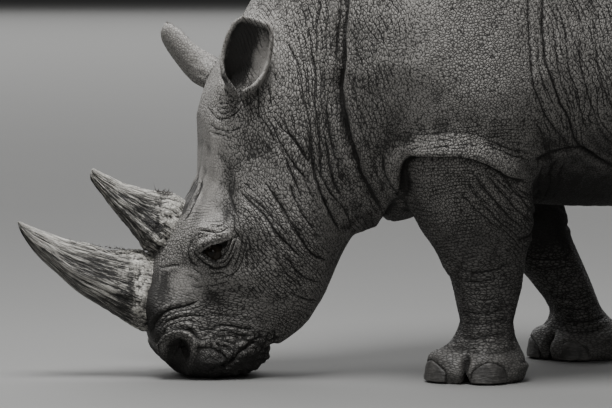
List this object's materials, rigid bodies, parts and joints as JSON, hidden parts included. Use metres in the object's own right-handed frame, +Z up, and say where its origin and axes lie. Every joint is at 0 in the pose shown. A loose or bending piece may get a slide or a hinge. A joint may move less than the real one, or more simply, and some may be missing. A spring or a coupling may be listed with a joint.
{
  "type": "animal figure",
  "caption": "Life-size still figure of a grazing white rhinoceros, head lowered with its lips on the ground, standing on its own feet.",
  "frame": {"origin": "on the floor, under the centre of the figure's bounding box", "axes": "+Z up, the animal faces -X, its left side faces -Y"},
  "size_m": [3.431, 1.0741, 1.7319],
  "materials": {
    "hide": "dry wrinkled grey hide",
    "horn": "fibrous keratin, worn smooth at the tip",
    "nail": "dull keratin",
    "eye": "wet and dark"
  },
  "bodies": {
    "root": {"ear_left": "hide", "ear_right": "hide", "eye_left": "eye", "eye_right": "eye", "foot_fore_left": "hide", "foot_fore_right": "hide", "foot_hind_left": "hide", "foot_hind_right": "hide", "head": "hide", "horn_front": "horn", "horn_rear": "horn", "leg_fore_left": "hide", "leg_fore_right": "hide", "leg_hind_left": "hide", "leg_hind_right": "hide", "nail_fore_left_inner": "nail", "nail_fore_left_middle": "nail", "nail_fore_left_outer": "nail", "nail_fore_right_inner": "nail", "nail_fore_right_middle": "nail", "nail_fore_right_outer": "nail", "nail_hind_left_inner": "nail", "nail_hind_left_middle": "nail", "nail_hind_left_outer": "nail", "nail_hind_right_inner": "nail", "nail_hind_right_middle": "nail", "nail_hind_right_outer": "nail", "neck": "hide", "tail": "hide", "trunk": "hide"}
  },
  "joints": []
}
